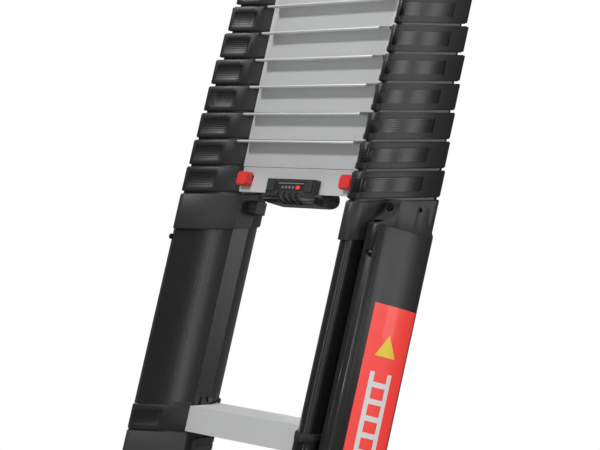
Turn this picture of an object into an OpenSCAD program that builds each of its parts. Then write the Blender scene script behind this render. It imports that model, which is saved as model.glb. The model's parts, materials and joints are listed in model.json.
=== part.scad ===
// Telescoping ladder, closed: twelve rungs on two stiles of nested tubes, with a hinged leg on each side.
// X runs along the rungs, Y from front to back, Z up the stiles. Every rung and collar slopes up to the back
// by the lean angle, so that the treads lie level when the ladder leans on a wall.

/* [Ladder] */
// Rise from rung to rung when the ladder is drawn out
rung_spacing = 300; // [280:1:300]
// Height of the first rung's tread, at mid depth
first_rung = 120; // [118:1:130]
// Rise from rung to rung when the ladder is closed
stack_pitch = 34.25; // [34:0.25:38]
// Lean of the ladder in use, from upright
lean = 15; // [12:1:17]

/* [Stile tubes] */
// Centre plane to the inner face of the base tube
tube_in = 123.5; // [120:0.5:130]
// Centre plane to the outer face of the base tube
tube_out = 188.5; // [186:0.5:189]
// Half width of the flat inner face
inner_half = 11; // [10:0.5:12]
// Mid plane of a stile to the centre of its corner rounding
corner_y = 48.5; // [46:0.5:50]
// Radius of the stile's two outer corners
corner_r = 8; // [7:0.5:10]
// Radius of the bulged front and back faces
face_r = 150; // [140:1:200]
// Wall of every tube
tube_wall = 1.2; // [1:0.1:1.2]
// Gap between one tube and the next
tube_gap = 0.3; // [0.3:0.05:0.4]
// Length of each sliding tube, at mid depth
tube_len = 375; // [360:1:380]

/* [Rungs] */
// Height of a rung
rung_h = 31.5; // [30:0.5:31.5]
// Front face of the rungs, from the stile's mid plane
rung_front = 15.5; // [13:0.5:16]
// Depth of a rung from front to back
rung_depth = 43; // [40:0.5:44]
// Wall of a rung
rung_wall = 1.8; // [1.5:0.1:2.2]
// Gap between one closed rung and the next
rung_gap = 0.5; // [0.4:0.1:1]
// How far the nose lip stands out in front of a rung
lip_reach = 18; // [12:0.5:19]
// Thickness of the nose lip
lip_t = 3; // [2.5:0.1:3.4]
// Half length of the nose lip
lip_half = 124; // [118:0.5:125]

/* [Collars] */
// Wall of a collar outside its tube
collar_t = 3; // [2.8:0.1:3]
// Depth of the ribbed panel
panel_depth = 0.8; // [0.5:0.1:1]
// Thickness of the rim at a collar's top and bottom edge
rim_t = 1; // [0.8:0.1:1.2]
// Height of the neck sleeve
neck_h = 44.5; // [40:0.5:46]

/* [Stabiliser legs] */
// Centre plane to the outermost point of a leg
leg_out = 226; // [224:0.5:230]
// Half width of a leg from front to back
leg_half = 41; // [40:0.5:44]
// Wall of the leg's shell
leg_wall = 2.5; // [2:0.1:3]
// Height of the seam between the shell and its cap
leg_seam = 350; // [345:1:352]
// Ground clearance of the folded leg
leg_clear = 6; // [5:1:15]

/* [Handle and buttons] */
// Length of the carry handle
grip_len = 102; // [90:1:110]
// How far the handle's grip hangs under rung 2
grip_drop = 12.5; // [12:0.5:18]
// Length of a release button
button_len = 24; // [20:0.5:26]
// Depth of the handle's grip from front to back
grip_depth = 36; // [30:1:44]
// How far a release button stands out
button_out = 8; // [6:0.5:9]

/* [Hidden] */
$fn = 96;

// Reach of construction solids beyond the part
far = 600;
// Height of rung 2 and of the lock pins behind its face
rung2_top = first_rung + rung_spacing;
pin_z = rung2_top - 18;
pin_r = 4;
pin_fit = 0.05;
// Travel of a release button with its lock pin
button_h = 17.5;
button_gap = 0.3;
// Bottom of the base tube and of the socket under it
tube_bottom = 28;
socket_bottom = 20;
shoe_top = 40;
shoe_t = 3;
// Rib along the back of a tread, which the rung above is grooved for
rib_h = 1;
rib_y = 19;
rib_w = 3;
rib_half = 116;
screw_r = 3.4;
lock_hole_r = 4.4;
screw_x = 213;
screw_z = leg_seam - 32;
// Gap between two closed collars
collar_gap = stack_pitch - rung_h;
// Lip that closes a collar over its tube's end
cover_t = 3;
// Smallest radius of a corner on the inner tubes
tight_r = 5;
// Hinge of a leg
hinge_x = 208;
hinge_z = 373.5;
hinge_r = 4;
pin_head_r = 5;
knuckle_r = 10.5;
knuckle_half = 14;
ear_out = 21;
leg_in = 200;
leg_corner = 14;
leg_bulge_r = 120;
cap_top = 382.5;
ear_rise = 24;
ear_round = 5;
leg_foot_h = 40;

// Circle of the bulged front face: it passes the inner ridge and touches the corner's circle from outside
ridge = [tube_in, -inner_half];
chord = [tube_out - corner_r, -corner_y] - ridge;
chord_dir = chord / norm(chord);
chord_run = (pow(face_r, 2) - pow(face_r - corner_r, 2) + pow(norm(chord), 2)) / (2 * norm(chord));
chord_rise = sqrt(pow(face_r, 2) - pow(chord_run, 2));
face_c = ridge + chord_run * chord_dir + chord_rise * [-chord_dir[1], chord_dir[0]];

// Stile outline offset inwards by d: corner radius, corner centre, and the point where corner and face touch
function corner_rad(d) = max(tight_r, corner_r - d);
function corner_x(d) = tube_out - d - corner_rad(d);
function corner_c(d) = [corner_x(d),
    face_c[1] - sqrt(pow(face_r - d - corner_rad(d), 2) - pow(corner_x(d) - face_c[0], 2))];
function touch(d) = face_c + (corner_c(d) - face_c) * (face_r - d) / (face_r - d - corner_rad(d));
function flip(p) = [p[0], -p[1]];

// Section k: top of its rung, and the offset of its tube from the base tube
function rung_z(k) = k == 1 ? first_rung : rung2_top + (k - 2) * stack_pitch;
function tube_d(k) = max(0, k - 2) * (tube_wall + tube_gap);
function collar_d(k) = tube_d(k) - collar_t;
function bar_h(k) = k > 2 ? stack_pitch - rung_gap : rung_h;

module both_sides() {
    children();
    mirror([1, 0, 0]) children();
}

// Filled outline of the right stile
module outline(d) {
    c = corner_c(d);
    t = touch(d);
    inner = tube_in + d;
    intersection() {
        translate(face_c) circle(r = face_r - d);
        translate(flip(face_c)) circle(r = face_r - d);
        polygon([[inner, -far], [t[0], -far], t, c, flip(c), flip(t), [t[0], far], [inner, far]]);
    }
    polygon([[c[0] - tight_r, c[1]], [tube_out - d, c[1]], [tube_out - d, -c[1]], [c[0] - tight_r, -c[1]]]);
    translate(c) circle(r = corner_rad(d));
    translate(flip(c)) circle(r = corner_rad(d));
}

module column(d, z0, z1) {
    translate([0, 0, z0]) linear_extrude(z1 - z0) outline(d);
}

// Everything below a sloping plane that has height z at mid depth
module below(z) {
    translate([0, 0, z]) rotate([lean, 0, 0]) translate([-far, -far, -2 * far])
        cube([2 * far, 2 * far, 2 * far]);
}

// Sloping layer of height h under the plane z
module layer(z, h) {
    translate([0, 0, z]) rotate([lean, 0, 0]) translate([-far, -far, -h * cos(lean)])
        cube([2 * far, 2 * far, h * cos(lean)]);
}

// Box between two corners
module box(a, b) {
    translate(a) cube(b - a);
}

// Part of the stile's outline between two sloping planes
module slice(d, z, h) {
    intersection() {
        column(d, z - h - far / 4, z + far / 4);
        layer(z, h);
    }
}

// ---- tubes ----
module tube(k, z0) {
    intersection() {
        difference() {
            column(tube_d(k), z0, rung_z(k) + far / 4);
            column(tube_d(k) + tube_wall, z0 - 1, rung_z(k) + far / 2);
        }
        below(rung_z(k) - cover_t);
    }
}

module lock_bore() {
    translate([tube_in - 30, 0, pin_z]) rotate([0, 90, 0]) cylinder(h = 40, r = pin_r + pin_fit);
}

module base_tube() {
    color("#2b2b2d") difference() {
        tube(2, tube_bottom);
        lock_bore();
    }
}

// Sliding tube with the hole that section k-1's lock pin drops into when the section is drawn out
module tubes(k) {
    hole_z = rung_z(k - 1) - 18 - (rung_spacing - stack_pitch);
    color("#2b2b2d") both_sides() difference() {
        tube(k, rung_z(k) - tube_len);
        translate([tube_in - 1, 0, hole_z]) rotate([0, 90, 0])
            cylinder(h = tube_d(k) + tube_wall + 3, r = lock_hole_r);
    }
}

// ---- collars ----
// Ribbed panels' cut: one on the front and one on the back face, and one on the outer side
module panel_cut(k) {
    d = collar_d(k);
    c = corner_c(d);
    inner = tube_in + d;
    intersection() {
        difference() {
            column(d - 1, rung_z(k) - far / 4, rung_z(k) + far / 4);
            column(d + panel_depth, rung_z(k) - far / 2, rung_z(k) + far / 2);
        }
        layer(rung_z(k) - rung_h * 0.22, rung_h * 0.56);
        union() {
            box([inner + (c[0] - inner) * 0.42, -far, 0], [c[0] - 3, far, 2 * far]);
            box([c[0] + 1.5, c[1] - corner_rad(d) * 0.72, 0], [far, -c[1] * 0.56, 2 * far]);
        }
    }
}

module collar_body(k) {
    d = collar_d(k);
    z = rung_z(k);
    difference() {
        union() {
            slice(d, z - rim_t, rung_h - 2 * rim_t);
            slice(d + rim_t, z, rung_h);
        }
        panel_cut(k);
    }
}

// Spigot that plugs into the hollow end of a rung
module spigot(k) {
    fit = 0.15;
    intersection() {
        layer(rung_z(k) - rung_wall - fit, rung_h - 2 * (rung_wall + fit));
        box([tube_in - 20, -rung_front + rung_wall + fit, 0],
            [tube_in + tube_d(k) + 4, rung_depth - rung_front - rung_wall - fit, 2 * far]);
    }
}

module collar(k) {
    z = rung_z(k);
    d = tube_d(k);
    color("#242425") difference() {
        union() {
            collar_body(k);
            if (k != 2) spigot(k);
            if (k > 2) intersection() {
                layer(z - 0.4, lip_t);
                box([tube_in + d + 4, -rung_front - 10, 0], [tube_in + d + 22, -rung_front + 4, 2 * far]);
            }
        }
        if (k == 1) column(0, 0, 2 * far);
        if (k > 1) intersection() {
            column(d, 0, 2 * far);
            below(z - cover_t);
        }
        if (k > 1 && k < 12) column(d + tube_wall, 0, 2 * far);
        if (k == 2) lock_bore();
    }
}

// Tabs that rise from collar 1 against the tube
module collar_1_tabs() {
    color("#242425") difference() {
        union() {
            intersection() {
                column(-2, 0, far);
                layer(first_rung + 4, 4.5);
                box([tube_in, -far, 0], [tube_in + 15, -inner_half - 1, far]);
            }
            box([tube_in - 3, -3, first_rung - 2], [tube_in + 1, 4, first_rung + 9]);
        }
        column(0, 0, far);
    }
}

module collar_1() {
    collar(1);
    collar_1_tabs();
}

module collars(k) {
    both_sides() collar(k);
}

// ---- rungs ----
module rung_bar(k) {
    z = rung_z(k);
    difference() {
        intersection() {
            layer(z, bar_h(k));
            box([-tube_out, -rung_front, 0], [tube_out, rung_depth - rung_front, 2 * far]);
        }
        intersection() {
            layer(z - rung_wall, bar_h(k) - 2 * rung_wall);
            box([-far, -rung_front + rung_wall, 0], [far, rung_depth - rung_front - rung_wall, 2 * far]);
        }
        both_sides() column(collar_d(k), 0, 2 * far);
        both_sides() box([tube_in + 30, -far, 0], [far, far, 2 * far]);
        if (k > 2) rib(z - bar_h(k) + rib_h, rung_gap);
    }
    if (k > 1 && k < 12) rib(z + rib_h, 0);
}

// Rib up to the plane z, grown by a clearance on both sides
module rib(z, fit) {
    intersection() {
        layer(z, rib_h + 1);
        box([-rib_half - 2 * fit, rib_y - fit, 0], [rib_half + 2 * fit, rib_y + rib_w + fit, 2 * far]);
    }
}

// Nose lip along the top front edge, with a round nose
module lip(k) {
    nose = lip_t / 2;
    intersection() {
        translate([0, 0, rung_z(k)]) rotate([lean, 0, 0]) union() {
            reach = (rung_front + lip_reach) / cos(lean) - nose;
            translate([-lip_half, -reach, -lip_t]) cube([2 * lip_half, reach - rung_front + 1, lip_t]);
            translate([-lip_half, -reach, -nose]) rotate([0, 90, 0]) cylinder(h = 2 * lip_half, r = nose);
            translate([-lip_half, -reach, -lip_t]) cube([2 * lip_half, 3, lip_t]);
        }
        box([-far, -far, 0], [far, -rung_front, 2 * far]);
    }
}

module rung(k) {
    color("#c3c4c6") union() {
        rung_bar(k);
        if (k > 2) lip(k);
    }
}

module rung_2_bar() {
    color("#c3c4c6") difference() {
        rung_bar(2);
        both_sides() box([tube_in - 27, -rung_front - 1, pin_z - 3.3],
            [tube_in - 8, -rung_front + rung_wall + 1, pin_z + 3.3]);
    }
}

// ---- neck sleeve ----
module neck_sleeve() {
    d = -collar_t - 0.2;
    z = rung2_top - rung_h - collar_gap;
    color("#3d3d3f") difference() {
        union() {
            slice(d, z - rim_t, neck_h - rim_t);
            slice(d + rim_t, z, neck_h - 2);
            box([tube_in - 21, 1.5, z - 24], [tube_in + 1, 16, z - 8]);
            box([tube_out - 1, -knuckle_half, hinge_z - knuckle_r],
                [hinge_x, knuckle_half, hinge_z + knuckle_r]);
            translate([hinge_x, knuckle_half, hinge_z]) rotate([90, 0, 0])
                cylinder(h = 2 * knuckle_half, r = knuckle_r);
        }
        column(0, 0, 2 * far);
        translate([hinge_x, far, hinge_z]) rotate([90, 0, 0]) cylinder(h = 2 * far, r = hinge_r);
    }
}

// ---- foot ----
module foot_socket() {
    z = first_rung - rung_h - 1.5;
    color("#2a2a2b") difference() {
        union() {
            intersection() {
                column(-collar_t, socket_bottom, far);
                below(z - rim_t);
            }
            intersection() {
                column(-collar_t + rim_t, socket_bottom, far);
                below(z);
            }
            intersection() {
                box([tube_in - 14, -4, shoe_top + 3], [tube_in, 20, z + 8]);
                below(z - 7);
            }
        }
        column(0, tube_bottom, far);
        for (i = [0:1]) intersection() {
            layer(z - 14 - 9 * i, 2);
            box([tube_in - 15, -5, 0], [tube_in - 12.5, 21, far]);
        }
    }
}

// Sole: flat at the front for standing upright, cut to the lean at the back for use
module rubber_shoe() {
    depth = corner_y + corner_r + collar_t + shoe_t;
    color("#19191a") difference() {
        column(-collar_t - shoe_t, 0, shoe_top);
        column(-collar_t, socket_bottom, shoe_top + 1);
        rotate([lean, 0, 0]) translate([0, 0, -depth]) cube([far, 2 * depth, depth]);
        for (y = [-48:12:-12]) box([tube_in - 10, y, -1], [tube_out + 10, y + 3, 2]);
        rotate([lean, 0, 0]) for (y = [12:12:48]) box([tube_in - 10, y, -1], [tube_out + 10, y + 3, 2]);
    }
}

// Bolts on the inner face of each tube, above rung 1
module foot_bolts() {
    color("#8f9093") both_sides() translate([tube_in, 8.4, first_rung + 8.5]) rotate([0, -90, 0]) {
        cylinder(h = 1.2, r = 3.9);
        cylinder(h = 4.5, r = 3.3);
    }
}

// ---- stabiliser leg ----
leg_bulge_x = leg_out - leg_bulge_r;
function leg_corner_x(o) = leg_bulge_x
    + sqrt(pow(leg_bulge_r - leg_corner, 2) - pow(leg_half - leg_corner, 2));

// Filled outline of a leg, offset inwards by o and open towards the stile
module leg_outline(o, x0) {
    y = leg_half - leg_corner;
    c = [leg_corner_x(0), y];
    r = leg_corner - o;
    t = [leg_bulge_x, 0] + (c - [leg_bulge_x, 0]) * (leg_bulge_r - o) / (leg_bulge_r - leg_corner);
    intersection() {
        translate([leg_bulge_x, 0]) circle(r = leg_bulge_r - o);
        polygon([[x0, -y], flip(c), flip(t), [far, -t[1]], [far, t[1]], t, c, [x0, y]]);
    }
    polygon([[x0, -leg_half + o], [c[0], -leg_half + o], [c[0], leg_half - o], [x0, leg_half - o]]);
    translate(c) circle(r = r);
    translate(flip(c)) circle(r = r);
}

module leg_block(o, x0, z0, z1) {
    translate([0, 0, z0]) linear_extrude(z1 - z0) leg_outline(o, x0);
}

module leg_shell() {
    color("#2e2e30") difference() {
        leg_block(0, leg_in, leg_clear + leg_foot_h, leg_seam);
        leg_block(leg_wall, leg_in - 1, 0, leg_seam + 1);
        translate([screw_x, -leg_half - 5, screw_z]) rotate([-90, 0, 0]) cylinder(h = 12, r = screw_r);
    }
}

// Distance of an ear's edge from the middle, h above the seam: a slope that turns upright, round at the top
function ear_edge(h) = h < ear_rise ? leg_half - (leg_half - ear_out) * sin(90 * h / ear_rise)
    : ear_out - ear_round + sqrt(pow(ear_round, 2) - pow(max(0, h - (cap_top - leg_seam - ear_round)), 2));

// Cap on top of the shell, sloping at the front and back up to two ears round the hinge pin
module leg_cap() {
    color("#3a3a3c") difference() {
        leg_block(0, leg_in, leg_seam, cap_top);
        leg_block(leg_wall, leg_in - 1, leg_seam - 1, leg_seam + 6);
        box([0, -knuckle_half - 0.4, leg_seam - 1],
            [hinge_x + knuckle_r + 1.5, knuckle_half + 0.4, cap_top + 1]);
        for (side = [-1, 1]) {
            rotate([90, 0, 90]) linear_extrude(far) polygon(concat(
                [for (h = [0.5:1.6:cap_top - leg_seam]) [side * ear_edge(h), leg_seam + h]],
                [[side * (ear_out - ear_round), cap_top], [side * (ear_out - ear_round), cap_top + 1],
                    [side * (leg_half + 40), cap_top + 1], [side * (leg_half + 40), leg_seam + 0.5]]));
            translate([hinge_x, side * (ear_out + 0.4), hinge_z]) rotate([-90 * side, 0, 0])
                cylinder(h = 30, r = pin_head_r + 0.6);
        }
        translate([hinge_x, far, hinge_z]) rotate([90, 0, 0]) cylinder(h = 2 * far, r = hinge_r + pin_fit);
        translate([leg_out - 12, 7, cap_top - 5.5]) rotate([0, 90, 0]) cylinder(h = 20, r = 2.6);
    }
}

module hinge_pins() {
    color("#77787b") both_sides() {
        translate([hinge_x, ear_out + 2, hinge_z]) rotate([90, 0, 0])
            cylinder(h = 2 * ear_out + 4, r = hinge_r);
        for (side = [-1, 1]) translate([hinge_x, side * (ear_out + 1.6) + 0.7, hinge_z]) rotate([90, 0, 0])
            cylinder(h = 1.4, r = pin_head_r);
    }
}

module leg_foot() {
    z = leg_clear + leg_foot_h;
    color("#19191a") difference() {
        union() {
            leg_block(0, leg_in, leg_clear, z);
            leg_block(leg_wall, leg_in + 2, z, z + 18);
        }
        leg_block(leg_wall + 3, leg_in - 1, z - 14, z + 30);
        for (y = [-36:12:36]) box([leg_in - 1, y - 1.5, 0], [far, y + 1.5, leg_clear + 2]);
    }
}

// Screw on the shell's front flange
module leg_screw() {
    color("#77787b") translate([screw_x, -leg_half - 2.2, screw_z]) rotate([-90, 0, 0]) difference() {
        cylinder(h = 5.5, r = screw_r);
        translate([0, 0, -1]) cylinder(h = 2.5, r = 1.6, $fn = 6);
    }
}

// ---- handle ----
// Plate on rung 2's front face that turns under the rung as a grip
module carry_handle() {
    half = grip_len / 2;
    wide = half + 6;
    bottom = rung2_top - rung_h - rung_front * tan(lean);
    front = -rung_front - 8;
    low = bottom - grip_drop;
    color("#2a2a2b") difference() {
        union() {
            box([-half, front, bottom - 4], [half, -rung_front, bottom + 16.5]);
            for (side = [-1, 1]) translate([side * 40.5, 0, 0])
                box([-8, front - 1.5, bottom + 1.5], [8, front + 1, bottom + 14.5]);
            intersection() {
                translate([0, grip_depth + front, 0]) rotate([90, 0, 0]) linear_extrude(grip_depth) union() {
                    for (side = [-1, 1]) translate([side * (half - 4), low + 10]) circle(r = 10);
                    polygon([[-half, bottom + 2], [-wide, bottom - 2], [-half + 4, low], [half - 4, low],
                        [wide, bottom - 2], [half, bottom + 2], [half, bottom + 20], [-half, bottom + 20]]);
                }
                below(rung2_top - rung_h);
                translate([-far, front + 9, low + 9]) rotate([0, 90, 0]) linear_extrude(2 * far) union() {
                    circle(r = 9);
                    translate([0, grip_depth - 18]) circle(r = 9);
                    polygon([[9, 0], [0, -9], [-40, -9], [-40, grip_depth - 9], [0, grip_depth - 9],
                        [9, grip_depth - 18]]);
                }
            }
        }
        box([-30, front - 1, bottom + 2], [30, front + 2, bottom + 13]);
        // slanting grooves that follow the rounded lower edge
        for (i = [-1.5:1.5]) difference() {
            translate([i * 13 + 2, front - 1, low + 5]) rotate([0, -38, 0]) translate([-2.8, 0, -9])
                cube([5.6, 10, 18]);
            translate([-far, front + 9, low + 9]) rotate([0, 90, 0]) cylinder(h = 2 * far, r = 7.9);
            box([-far, front + 1.1, low + 9], [far, front + 20, low + 30]);
            box([-far, front + 9, low - 9], [far, front + 20, low + 30]);
        }
    }
}

module handle_badge() {
    bottom = rung2_top - rung_h - rung_front * tan(lean);
    color("#1b1b1c") difference() {
        box([-29.8, -rung_front - 7.2, bottom + 2.2], [29.8, -rung_front - 6, bottom + 12.8]);
        box([-31, -rung_front - 8, bottom + 9.6], [31, -rung_front - 6.9, bottom + 10]);
    }
}

// ---- release ----
// How far the button's head has drawn in at a step towards its face
function button_ease(i) = 3 - sqrt(9 - pow(0.75 * i + 0.3, 2));

module rounded_plate(long, high, r, thick) {
    linear_extrude(thick) offset(r = r) square([long - 2 * r, high - 2 * r], center = true);
}

// Button with its stem through rung 2's front slot and its slider inside the rung
module release_button() {
    x1 = tube_in - 1.5;
    front = rung_front + button_gap;
    color("#d9453c") difference() {
        union() {
            // rounded head that tapers towards its face
            translate([x1 - button_len / 2, -front, pin_z - 2]) rotate([90, 0, 0]) {
                rounded_plate(button_len, button_h, 4, button_out - 3);
                translate([0, 0, button_out - 3.01]) for (i = [0:3]) translate([0, 0, i * 0.75])
                    rounded_plate(button_len - 2 * button_ease(i), button_h - 2 * button_ease(i), 4, 0.76);
            }
            box([x1 - 16, -front - 1, pin_z - 3], [x1 - 7, -pin_r + 1, pin_z + 3]);
            box([x1 - 18, -rung_front + rung_wall + button_gap, pin_z - 6], [x1 - 5, 7, pin_z + 6]);
        }
        translate([tube_in - 40, 0, pin_z]) rotate([0, 90, 0]) cylinder(h = 60, r = pin_r);
    }
}

module lock_pin() {
    color("#9c9da0") translate([tube_in - 22, 0, pin_z]) rotate([0, 90, 0])
        cylinder(h = 22 + tube_wall - 0.1, r = pin_r);
}

mirror([1, 0, 0]) base_tube();  // base_tube_left
base_tube();  // base_tube_right
rung(1);  // rung_1
rung_2_bar();  // rung_2
mirror([1, 0, 0]) collar_1();  // collar_1_left
collar_1();  // collar_1_right
mirror([1, 0, 0]) collar(2);  // collar_2_left
collar(2);  // collar_2_right
mirror([1, 0, 0]) neck_sleeve();  // neck_sleeve_left
neck_sleeve();  // neck_sleeve_right
mirror([1, 0, 0]) foot_socket();  // foot_socket_left
foot_socket();  // foot_socket_right
mirror([1, 0, 0]) rubber_shoe();  // rubber_shoe_left
rubber_shoe();  // rubber_shoe_right
carry_handle();
handle_badge();
foot_bolts();
hinge_pins();
mirror([1, 0, 0]) leg_shell();  // leg_shell_left
leg_shell();  // leg_shell_right
mirror([1, 0, 0]) leg_cap();  // leg_cap_left
leg_cap();  // leg_cap_right
mirror([1, 0, 0]) leg_foot();  // leg_foot_left
leg_foot();  // leg_foot_right
mirror([1, 0, 0]) leg_screw();  // leg_screw_left
leg_screw();  // leg_screw_right
mirror([1, 0, 0]) release_button();  // release_button_left
release_button();  // release_button_right
mirror([1, 0, 0]) lock_pin();  // lock_pin_left
lock_pin();  // lock_pin_right
tubes(3);  // tubes_3
tubes(4);  // tubes_4
tubes(5);  // tubes_5
tubes(6);  // tubes_6
tubes(7);  // tubes_7
tubes(8);  // tubes_8
tubes(9);  // tubes_9
tubes(10);  // tubes_10
tubes(11);  // tubes_11
tubes(12);  // tubes_12
collars(3);  // collars_3
collars(4);  // collars_4
collars(5);  // collars_5
collars(6);  // collars_6
collars(7);  // collars_7
collars(8);  // collars_8
collars(9);  // collars_9
collars(10);  // collars_10
collars(11);  // collars_11
collars(12);  // collars_12
rung(3);  // rung_3
rung(4);  // rung_4
rung(5);  // rung_5
rung(6);  // rung_6
rung(7);  // rung_7
rung(8);  // rung_8
rung(9);  // rung_9
rung(10);  // rung_10
rung(11);  // rung_11
rung(12);  // rung_12
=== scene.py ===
# Telescoping ladder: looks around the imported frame. Lengths are in metres.
import bpy
import bmesh
import json
import math
from mathutils import Matrix, Vector


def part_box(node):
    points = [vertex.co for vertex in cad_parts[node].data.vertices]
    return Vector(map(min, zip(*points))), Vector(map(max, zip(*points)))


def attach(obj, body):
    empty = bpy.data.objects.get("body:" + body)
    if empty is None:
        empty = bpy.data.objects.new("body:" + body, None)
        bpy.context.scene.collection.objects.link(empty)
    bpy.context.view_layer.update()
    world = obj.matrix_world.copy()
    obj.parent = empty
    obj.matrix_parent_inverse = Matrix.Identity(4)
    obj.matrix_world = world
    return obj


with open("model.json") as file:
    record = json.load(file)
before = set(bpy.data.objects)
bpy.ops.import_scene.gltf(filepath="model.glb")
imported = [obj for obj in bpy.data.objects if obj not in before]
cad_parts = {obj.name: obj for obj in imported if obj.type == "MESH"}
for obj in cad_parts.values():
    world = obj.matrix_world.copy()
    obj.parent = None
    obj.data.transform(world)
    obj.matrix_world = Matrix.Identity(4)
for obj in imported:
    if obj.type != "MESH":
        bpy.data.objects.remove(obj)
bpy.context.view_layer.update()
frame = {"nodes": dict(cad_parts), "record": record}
nodes = frame["nodes"]
scene = bpy.context.scene
WHITE = (1, 1, 1, 1)

# ---------------------------------------------------------------- camera
# The stiles are modelled upright, so the camera leans as the ladder does in the photo.
CAMERA_AT = (2.468, -1.620, 0.045)
CAMERA_TURN = math.radians(56.3)
CAMERA_LEAN = math.radians(15.09)
CAMERA_PITCH = math.radians(-2.45)
CAMERA_LENS = 149.8
SENSOR_WIDTH = 36

# the photo's level frame: across the ladder, from front to back, and straight up
across = Vector((1, 0, 0))
backward = Vector((0, math.cos(CAMERA_LEAN), math.sin(CAMERA_LEAN)))
plumb = Vector((0, -math.sin(CAMERA_LEAN), math.cos(CAMERA_LEAN)))

ahead = -math.sin(CAMERA_TURN) * across + math.cos(CAMERA_TURN) * backward
right = math.cos(CAMERA_TURN) * across + math.sin(CAMERA_TURN) * backward
look = math.cos(CAMERA_PITCH) * ahead + math.sin(CAMERA_PITCH) * plumb
up = -math.sin(CAMERA_PITCH) * ahead + math.cos(CAMERA_PITCH) * plumb

camera = bpy.data.objects.new("camera", bpy.data.cameras.new("camera"))
scene.collection.objects.link(camera)
facing = Matrix((right, up, -look)).transposed().to_4x4()
camera.matrix_world = Matrix.Translation(CAMERA_AT) @ facing
camera.data.sensor_width = SENSOR_WIDTH
camera.data.lens = CAMERA_LENS
camera.data.clip_start = 0.1
camera.data.clip_end = 50
scene.camera = camera


# ---------------------------------------------------------------- materials
# the colour sockets of a Mix node
MIX_A = 6
MIX_B = 7
MIX_RESULT = 2


class Shader:
    """A small helper that builds one procedural material."""

    def __init__(self, name):
        self.mat = bpy.data.materials.new(name)
        self.mat.use_nodes = True
        self.tree = self.mat.node_tree
        self.tree.nodes.clear()
        self.out = self.node("ShaderNodeOutputMaterial")
        self.bsdf = self.node("ShaderNodeBsdfPrincipled")
        self.link(self.bsdf.outputs[0], self.out.inputs[0])
        self.place = self.node("ShaderNodeTexCoord").outputs["Object"]

    def node(self, kind, **values):
        n = self.tree.nodes.new(kind)
        for key, value in values.items():
            setattr(n, key, value)
        return n

    def link(self, a, b):
        self.tree.links.new(a, b)

    def put(self, socket, value):
        """Set a socket, or link it when value is an output."""
        if isinstance(value, bpy.types.NodeSocket):
            self.link(value, socket)
        else:
            socket.default_value = value

    def put_color(self, socket, value):
        self.put(socket, (*value, 1) if isinstance(value, tuple) else value)

    def math(self, operation, a, b=0.0):
        n = self.node("ShaderNodeMath", operation=operation)
        self.put(n.inputs[0], a)
        self.put(n.inputs[1], b)
        return n.outputs[0]

    def axes(self, source=None):
        n = self.node("ShaderNodeSeparateXYZ")
        self.link(source or self.place, n.inputs[0])
        return n.outputs

    def noise(self, scale, stretch=(1, 1, 1), detail=3.0):
        stretched = self.node("ShaderNodeMapping")
        self.link(self.place, stretched.inputs["Vector"])
        stretched.inputs["Scale"].default_value = stretch
        n = self.node("ShaderNodeTexNoise")
        self.link(stretched.outputs[0], n.inputs["Vector"])
        n.inputs["Scale"].default_value = scale
        n.inputs["Detail"].default_value = detail
        return n.outputs[0]

    def spread(self, value, low, high):
        """0 to 1 becomes low to high."""
        n = self.node("ShaderNodeMapRange")
        self.put(n.inputs["Value"], value)
        n.inputs["To Min"].default_value = low
        n.inputs["To Max"].default_value = high
        return n.outputs[0]

    def rise(self, value, start, end):
        """A soft step from 0 at start to 1 at end."""
        n = self.node("ShaderNodeMapRange", interpolation_type="SMOOTHSTEP")
        self.put(n.inputs["Value"], value)
        n.inputs["From Min"].default_value = start
        n.inputs["From Max"].default_value = end
        return n.outputs[0]

    def band(self, value, low, high, soft):
        """1 between low and high, fading to 0 over soft."""
        return self.math("SUBTRACT", self.rise(value, low, low + soft), self.rise(value, high - soft, high))

    def mix(self, factor, a, b):
        n = self.node("ShaderNodeMix", data_type="RGBA")
        self.put(n.inputs["Factor"], factor)
        self.put_color(n.inputs[MIX_A], a)
        self.put_color(n.inputs[MIX_B], b)
        return n.outputs[MIX_RESULT]

    def bump(self, height, distance, chain=None):
        n = self.node("ShaderNodeBump")
        n.inputs["Strength"].default_value = 1.0
        n.inputs["Distance"].default_value = distance
        self.put(n.inputs["Height"], height)
        if chain:
            self.link(chain, n.inputs["Normal"])
        return n.outputs[0]

    def finish(self, color, rough, metal=0.0, spec=0.5, normal=None, coat=0.0):
        sockets = self.bsdf.inputs
        self.put_color(sockets["Base Color"], color)
        self.put(sockets["Roughness"], rough)
        self.put(sockets["Metallic"], metal)
        self.put(sockets["Specular IOR Level"], spec)
        sockets["Coat Weight"].default_value = coat
        if normal:
            self.link(normal, sockets["Normal"])
        return self.mat


def scaled(color, factor):
    return tuple(c * factor for c in color)


# the collars' ribbed panels; x and y are measured from the ladder's middle
RUNG_SLOPE = math.radians(15)   # of rungs and collars, against level
PITCH = 0.03425                 # from the top of one closed collar to the next
PANEL_TOP = 0.0074              # below the collar's top
PANEL_BOTTOM = 0.0240
PANEL_SOFT = 0.0006             # over which its upper and lower edges fade
FRONT_START = 0.1500            # inner end of the front panel
FRONT_MARGIN = 0.0030           # from the front panel's outer end to the corner
SIDE_MARGIN = 0.0022            # from the corner to the side panel
CORNER = 0.1865                 # the first collar's corner, before the limit below
CORNER_STEP = 0.0015            # collars get smaller upwards by this
CORNER_LIMIT = 0.1805
SIDE_REACH = 0.0268             # the side panel's rear end
SIDE_REACH_STEP = 0.00143       # it draws in by this, above the collar counted as FULL_REACH
FULL_REACH = 4
RIB_PITCH = 0.0027
RIB_HEIGHT = 0.00003
CROWN = -1 / 0.3                # a slight crown from front to back: this times y squared
SIDE_GLOSS = -0.14              # the side panels are this much smoother


def sloped_height(s):
    """Height above the tilted plane through the origin: constant along a rung's sloping edges."""
    axes = s.axes()
    return s.math("SUBTRACT", axes[2], s.math("MULTIPLY", axes[1], math.tan(RUNG_SLOPE)))


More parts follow.
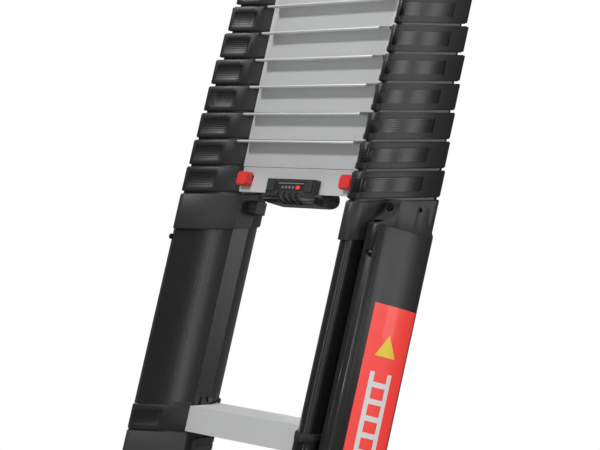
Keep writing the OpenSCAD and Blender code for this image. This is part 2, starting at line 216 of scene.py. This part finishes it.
def ribbed_panels(s, first_top):
    """Where a collar's ribbed panels are, where the side ones are, and the wave of the ribs.

    Collars are counted up from 0, the one whose top is at first_top."""
    up_stack = s.math("DIVIDE", s.math("SUBTRACT", sloped_height(s), first_top - PITCH), PITCH)
    count = s.math("FLOOR", up_stack)
    down = s.math("SUBTRACT", PITCH, s.math("MULTIPLY", s.math("SUBTRACT", up_stack, count), PITCH))
    panel = s.band(down, PANEL_TOP, PANEL_BOTTOM, PANEL_SOFT)

    axes = s.axes()
    wide = s.math("ABSOLUTE", axes[0])
    drawn_in = s.math("SUBTRACT", CORNER, s.math("MULTIPLY", count, CORNER_STEP))
    corner = s.math("MINIMUM", drawn_in, CORNER_LIMIT)
    front = s.math("MULTIPLY", s.math("GREATER_THAN", wide, FRONT_START),
                   s.math("LESS_THAN", wide, s.math("SUBTRACT", corner, FRONT_MARGIN)))

    above_full = s.math("MAXIMUM", s.math("SUBTRACT", count, FULL_REACH), 0)
    reach = s.math("SUBTRACT", SIDE_REACH, s.math("MULTIPLY", above_full, SIDE_REACH_STEP))
    side = s.math("MULTIPLY", s.math("GREATER_THAN", wide, s.math("ADD", corner, SIDE_MARGIN)),
                  s.math("LESS_THAN", axes[1], reach))

    ribbed_panel_and_painted_shade = s.math("MULTIPLY", s.math("MAXIMUM", front, side), panel)
    wave = s.math("SINE", s.math("MULTIPLY", down, 2 * math.pi / RIB_PITCH))
    return ribbed_panel_and_painted_shade, s.math("MULTIPLY", side, panel), wave


def moulded(name, color, rough, first_top=None):
    """Moulded plastic. With first_top it also has a collar's ribbed panels, whose base colour is darkened as
    painted shade for their recess.
    """
    s = Shader(name)
    grain = s.noise(900, detail=2.0)
    cloud = s.noise(14, detail=4.0)
    shade = s.mix(cloud, scaled(color, 0.82), scaled(color, 1.2))
    sheen = s.spread(cloud, rough - 0.05, rough + 0.06)
    normal = s.bump(grain, distance=0.00004)
    if first_top is not None:
        ribbed_panel_and_painted_shade, on_side, wave = ribbed_panels(s, first_top)
        normal = s.bump(s.math("MULTIPLY", wave, ribbed_panel_and_painted_shade), distance=RIB_HEIGHT, chain=normal)
        y = s.axes()[1]
        crown = s.math("MULTIPLY", s.math("MULTIPLY", y, y), CROWN)
        normal = s.bump(crown, distance=1.0, chain=normal)
        # painted shade: the recessed ribbed panels get a darker base colour, standing in for the shade in
        # their recess
        shade = s.mix(ribbed_panel_and_painted_shade, shade, s.mix(cloud, scaled(color, 0.35), scaled(color, 0.5)))
        sheen = s.math("ADD", sheen, s.math("MULTIPLY", on_side, SIDE_GLOSS))
    return s.finish(shade, sheen, normal=normal, spec=0.32)


def black_coat(name, color, rough):
    """Anodised or powder coated metal, drawn along Z."""
    s = Shader(name)
    streak = s.noise(1.0, stretch=(900, 900, 6), detail=3.0)
    cloud = s.noise(9, detail=3.0)
    return s.finish(s.mix(cloud, scaled(color, 0.85), scaled(color, 1.15)),
                    s.spread(streak, rough - 0.04, rough + 0.05),
                    normal=s.bump(streak, distance=0.00003), spec=0.3)


TREAD_PITCH = 0.0027    # of the anti-slip grooves
TREAD_DEPTH = 0.0003
FACING_UP = 0.7         # a face whose normal has more Z than this is a tread


def silver_rung(name):
    """Satin aluminium, drawn along X, with fine grooves on the treads."""
    s = Shader(name)
    streak = s.noise(1.0, stretch=(7, 900, 900), detail=4.0)
    cloud = s.noise(6, detail=2.0)
    face_normal = s.axes(s.node("ShaderNodeNewGeometry").outputs["Normal"])
    tread = s.math("GREATER_THAN", face_normal[2], FACING_UP)
    wave = s.math("SINE", s.math("MULTIPLY", s.axes()[1], 2 * math.pi / TREAD_PITCH))
    normal = s.bump(streak, distance=0.00002)
    normal = s.bump(s.math("MULTIPLY", wave, tread), distance=TREAD_DEPTH, chain=normal)
    return s.finish(s.mix(cloud, (0.60, 0.605, 0.61), (0.68, 0.685, 0.69)),
                    s.spread(streak, 0.38, 0.50), metal=0.45, normal=normal)


def steel(name, color):
    s = Shader(name)
    fine = s.noise(400, detail=3.0)
    return s.finish(s.mix(fine, scaled(color, 0.8), color), s.spread(fine, 0.25, 0.42),
                    metal=1.0, normal=s.bump(fine, distance=0.00002))


def rubber(name):
    s = Shader(name)
    grain = s.noise(1300, detail=2.0)
    dust = s.noise(30, detail=5.0)
    return s.finish(s.mix(s.spread(dust, -0.4, 0.8), (0.014, 0.014, 0.014), (0.035, 0.034, 0.033)),
                    s.spread(dust, 0.7, 0.9), normal=s.bump(grain, distance=0.00008), spec=0.3)


def red_plastic(name, color, rough, coat):
    s = Shader(name)
    cloud = s.noise(40, detail=3.0)
    grain = s.noise(700, detail=2.0)
    return s.finish(s.mix(cloud, scaled(color, 0.9), color), s.spread(cloud, rough - 0.04, rough + 0.04),
                    normal=s.bump(grain, distance=0.00002), coat=coat)


def printed(name, color):
    s = Shader(name)
    cloud = s.noise(25, detail=3.0)
    return s.finish(s.mix(cloud, scaled(color, 0.95), color), s.spread(cloud, 0.3, 0.4), coat=0.15)


METAL_BLACK = (0.011, 0.011, 0.0115)
COLLAR_BLACK = (0.010, 0.010, 0.0105)
SOCKET_BLACK = (0.028, 0.028, 0.029)
MATERIALS = {
    "tube": black_coat("black anodised tube", METAL_BLACK, rough=0.27),
    "rung": silver_rung("satin aluminium"),
    "collar": moulded("collar plastic", COLLAR_BLACK, rough=0.40, first_top=0.42),
    "low collar": moulded("lowest collar plastic", COLLAR_BLACK, rough=0.40, first_top=0.12),
    "neck": moulded("neck plastic", (0.020, 0.020, 0.021), rough=0.42),
    "socket": moulded("socket plastic", SOCKET_BLACK, rough=0.5),
    "rubber": rubber("rubber"),
    "handle": moulded("handle plastic", SOCKET_BLACK, rough=0.4),
    "badge": moulded("badge plastic", (0.02, 0.02, 0.022), rough=0.2),
    "steel": steel("zinc plated steel", (0.5, 0.5, 0.51)),
    "leg": black_coat("powder coated leg", METAL_BLACK, rough=0.36),
    "dark steel": steel("blackened steel", (0.06, 0.06, 0.062)),
    "button": red_plastic("red button plastic", (0.62, 0.030, 0.025), rough=0.33, coat=0.25),
}
DARK_STEEL = ("leg_screw", "hinge_pins", "foot_bolts")

for part in frame["record"]["subparts"]:
    look_name = part["material_slot"]
    if part["node"].startswith("collar_1_"):
        look_name = "low collar"
    if part["node"].startswith(DARK_STEEL):
        look_name = "dark steel"
    o = nodes[part["node"]]
    o.data.materials.clear()
    o.data.materials.append(MATERIALS[look_name])

# Soft edges on the moulded, pressed and sawn pieces: the width for each slot. The tubes have none.
EDGES = {
    "collar": 0.0004,
    "neck": 0.0007,
    "socket": 0.0006,
    "handle": 0.0011,
    "button": 0.0028,
    "rung": 0.0007,
    "leg": 0.0003,
    "rubber": 0.0008,
    "badge": 0.0002,
    "steel": 0.0002,
}
WELD_DISTANCE = 0.00001
SHARP = math.radians(38)

for part in frame["record"]["subparts"]:
    slot = part["material_slot"]
    if slot not in EDGES:
        continue
    o = nodes[part["node"]]
    weld = o.modifiers.new("weld", "WELD")
    weld.merge_threshold = WELD_DISTANCE
    bevel = o.modifiers.new("soft edge", "BEVEL")
    bevel.width = EDGES[slot]
    bevel.segments = 3 if slot == "button" else 2
    bevel.limit_method = "ANGLE"
    bevel.angle_limit = SHARP
    bevel.use_clamp_overlap = True


def add_mesh(name, bm, mat):
    """Turns a bmesh into an object of the scene."""
    mesh = bpy.data.meshes.new(name)
    bm.to_mesh(mesh)
    bm.free()
    o = bpy.data.objects.new(name, mesh)
    scene.collection.objects.link(o)
    o.data.materials.append(mat)
    return o


# ---------------------------------------------------------------- leg labels
# A leg's outer face is a wide bulge between two round corners, as in the CAD.
BULGE_R = 0.120
BULGE_X = 0.106         # the bulge's axis
CORNER_R = 0.014
CORNER_Y = 0.027        # the corners' axes
CORNER_X = BULGE_X + math.sqrt((BULGE_R - CORNER_R) ** 2 - CORNER_Y ** 2)
BULGE_END = CORNER_Y * BULGE_R / (BULGE_R - CORNER_R)
SUNK = 0.0002           # prints start this far inside the face they lie on


def leg_x(y, lift):
    """x of a leg's outer face at y, moved outwards by lift."""
    if abs(y) <= BULGE_END:
        return BULGE_X + math.sqrt((BULGE_R + lift) ** 2 - y * y)
    return CORNER_X + math.sqrt(max((CORNER_R + lift) ** 2 - (abs(y) - CORNER_Y) ** 2, 1e-9))


def leg_patch(name, side, y0, y1, low, high, lift, mat, cols=24):
    """A thin printed patch on a leg's outer face. low and high give its lower and upper edge for each y."""
    bm = bmesh.new()
    rows = []
    for depth in (-SUNK, lift):
        line = []
        for i in range(cols + 1):
            y = y0 + (y1 - y0) * i / cols
            line.append([bm.verts.new((side * leg_x(y, depth), y, z)) for z in (low(y), high(y))])
        rows.append(line)
    inner, outer = rows
    for i in range(cols):
        bm.faces.new((outer[i][0], outer[i + 1][0], outer[i + 1][1], outer[i][1]))
        bm.faces.new((inner[i][0], inner[i][1], inner[i + 1][1], inner[i + 1][0]))
        bm.faces.new((inner[i][0], inner[i + 1][0], outer[i + 1][0], outer[i][0]))
        bm.faces.new((inner[i][1], outer[i][1], outer[i + 1][1], inner[i + 1][1]))
    for i in (0, cols):
        bm.faces.new((inner[i][0], outer[i][0], outer[i][1], inner[i][1]))
    bmesh.ops.recalc_face_normals(bm, faces=bm.faces)
    return add_mesh(name, bm, mat)


def level(z):
    """An edge of a patch that is at the same height for each y."""
    return lambda y: z


LABEL_FRONT = -0.025
LABEL_REAR = 0.034
LABEL_LOW = 0.060
LABEL_HIGH = 0.265
LABEL_LIFT = 0.00005
MARK_LIFT = 0.00010
# a plain ladder pictogram
RAIL_FRONTS = (-0.013, 0.011)
RAIL_WIDTH = 0.006
RAIL_LOW = 0.070
RAIL_HIGH = 0.190
BAR_COUNT = 6
BAR_FRONT = -0.007
BAR_REAR = 0.011
BAR_LOW = 0.078
BAR_STEP = 0.019
BAR_HEIGHT = 0.006
# a plain arrow head above it, as high as ARROW_EDGE at its two ends
ARROW_MID = 0.002
ARROW_HALF = 0.014
ARROW_FRONT = -0.012
ARROW_REAR = 0.016
ARROW_LOW = 0.208
ARROW_EDGE = 0.2081
ARROW_SLOPE = 1.75


def arrow_top(y):
    return ARROW_EDGE + ARROW_SLOPE * (ARROW_HALF - abs(y - ARROW_MID))


red_print = printed("label red", (0.98, 0.046, 0.034))
white_print = printed("label white", (0.70, 0.70, 0.70))
yellow_print = printed("label yellow", (0.80, 0.58, 0.02))
for side, name in ((-1, "left"), (1, "right")):
    prints = [leg_patch(f"label_{name}", side, LABEL_FRONT, LABEL_REAR, level(LABEL_LOW), level(LABEL_HIGH),
                        LABEL_LIFT, red_print)]
    for i, y in enumerate(RAIL_FRONTS):
        prints.append(leg_patch(f"rail_{i}_{name}", side, y, y + RAIL_WIDTH, level(RAIL_LOW),
                                level(RAIL_HIGH), MARK_LIFT, white_print, cols=4))
    for i in range(BAR_COUNT):
        z = BAR_LOW + BAR_STEP * i
        prints.append(leg_patch(f"bar_{i}_{name}", side, BAR_FRONT, BAR_REAR, level(z), level(z + BAR_HEIGHT),
                                MARK_LIFT, white_print, cols=8))
    prints.append(leg_patch(f"arrow_{name}", side, ARROW_FRONT, ARROW_REAR, level(ARROW_LOW), arrow_top,
                            MARK_LIFT, yellow_print, cols=16))
    for o in prints:
        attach(o, f"leg_{name}")


# ---------------------------------------------------------------- badge
def slab(name, low, high, mat):
    """A small raised print with rounded corners, between two corners of its box."""
    bm = bmesh.new()
    bmesh.ops.create_cube(bm, size=1)
    mid = [(a + b) / 2 for a, b in zip(low, high)]
    span = [b - a for a, b in zip(low, high)]
    for v in bm.verts:
        v.co = Vector([m + c * d for m, c, d in zip(mid, v.co, span)])
    # the four edges that run from the badge outwards
    outward = [e for e in bm.edges if abs(e.verts[0].co.y - e.verts[1].co.y) > 0.5 * span[1]]
    rounding = 0.3 * min(span[0], span[2])
    bmesh.ops.bevel(bm, geom=outward, offset=rounding, segments=4, profile=0.5, affect="EDGES")
    return add_mesh(name, bm, mat)


badge_low, badge_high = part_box("handle_badge")
PRINT_IN = badge_low.y - 0.0002
PRINT_OUT = badge_low.y + 0.00005
# the line, measured down from the badge's top
LINE_HALF = 0.027
LINE_TOP = 0.0006
LINE_FOOT = 0.0021
# dashes and a red square, measured up from the badge's foot
DASH_COUNT = 4
DASH_START = -0.019
DASH_STEP = 0.0075
DASH_LENGTH = 0.0045
DASH_LOW = 0.0028
DASH_HIGH = 0.0058
RED_START = 0.012
RED_END = 0.020
RED_LOW = 0.0022
RED_HIGH = 0.0066

silver_print = steel("badge silver", (0.75, 0.75, 0.76))
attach(slab("badge_line", (-LINE_HALF, PRINT_IN, badge_high.z - LINE_FOOT),
             (LINE_HALF, PRINT_OUT, badge_high.z - LINE_TOP), silver_print), "frame")
for i in range(DASH_COUNT):
    x = DASH_START + DASH_STEP * i
    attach(slab(f"badge_dash_{i}", (x, PRINT_IN, badge_low.z + DASH_LOW),
                 (x + DASH_LENGTH, PRINT_OUT, badge_low.z + DASH_HIGH), silver_print), "frame")
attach(slab("badge_red", (RED_START, PRINT_IN, badge_low.z + RED_LOW),
             (RED_END, PRINT_OUT, badge_low.z + RED_HIGH), red_print), "frame")

# ---------------------------------------------------------------- floor
# It throws little light back, and runs into the white background for the camera.
FLOOR_RADIUS = 1.3
FLOOR_DROP = 0.0005     # below the soles, so that they do not share a plane

pale = Shader("pale floor")
pale.finish(pale.mix(pale.noise(3, detail=2.0), (0.26, 0.26, 0.26), (0.30, 0.30, 0.30)), 0.8, spec=0.1)
pale.bsdf.inputs["Emission Color"].default_value = WHITE
pale.link(pale.node("ShaderNodeLightPath").outputs["Is Camera Ray"], pale.bsdf.inputs["Emission Strength"])
disc = bmesh.new()
bmesh.ops.create_circle(disc, cap_ends=True, segments=96, radius=FLOOR_RADIUS)
floor = add_mesh("floor", disc, pale.mat)
floor.location.z = -FLOOR_DROP

# ---------------------------------------------------------------- light
# the camera sees a white background; the pieces get only a little light from it
WORLD_LIGHT = 0.16

world = bpy.data.worlds.new("studio")
scene.world = world
world.use_nodes = True
tree = world.node_tree
tree.nodes.clear()
world_out = tree.nodes.new("ShaderNodeOutputWorld")
choice = tree.nodes.new("ShaderNodeMixShader")
ray = tree.nodes.new("ShaderNodeLightPath")
seen = tree.nodes.new("ShaderNodeBackground")
lit = tree.nodes.new("ShaderNodeBackground")
for background, strength in ((seen, 1.0), (lit, WORLD_LIGHT)):
    background.inputs["Color"].default_value = WHITE
    background.inputs["Strength"].default_value = strength
tree.links.new(ray.outputs["Is Camera Ray"], choice.inputs[0])
tree.links.new(lit.outputs[0], choice.inputs[1])
tree.links.new(seen.outputs[0], choice.inputs[2])
tree.links.new(choice.outputs[0], world_out.inputs[0])
scene.view_settings.view_transform = "Standard"

LAMP_TARGET = Vector((0, 0, 0.30))


def lamp(name, at, power, size, tall=None):
    """An area light. From the target, at = (right of view, straight up in the photo, towards the viewer)."""
    place = LAMP_TARGET + right * at[0] + plumb * at[1] - ahead * at[2]
    data = bpy.data.lights.new(name, "AREA")
    data.shape = "RECTANGLE" if tall else "DISK"
    data.size = size
    if tall:
        data.size_y = tall
    data.energy = power
    o = bpy.data.objects.new(name, data)
    scene.collection.objects.link(o)
    o.location = place
    o.rotation_mode = "QUATERNION"
    o.rotation_quaternion = (LAMP_TARGET - place).to_track_quat("-Z", "Y")


lamp("key", (-1.9, 2.1, 0.5), power=45, size=0.45)
lamp("strip", (-1.15, 0.4, 2.2), power=11, size=0.25, tall=1.5)
lamp("fill", (1.9, 0.6, 1.75), power=15, size=0.4, tall=1.2)
lamp("side", (2.3, 0.4, 0.9), power=15, size=0.6, tall=1.4)
lamp("soft front", (0.6, 0.6, 2.5), power=10, size=1.2)
lamp("top", (0.0, 2.7, 0.3), power=62, size=0.8)
lamp("back", (-0.9, 1.2, -2.2), power=16, size=1.0)
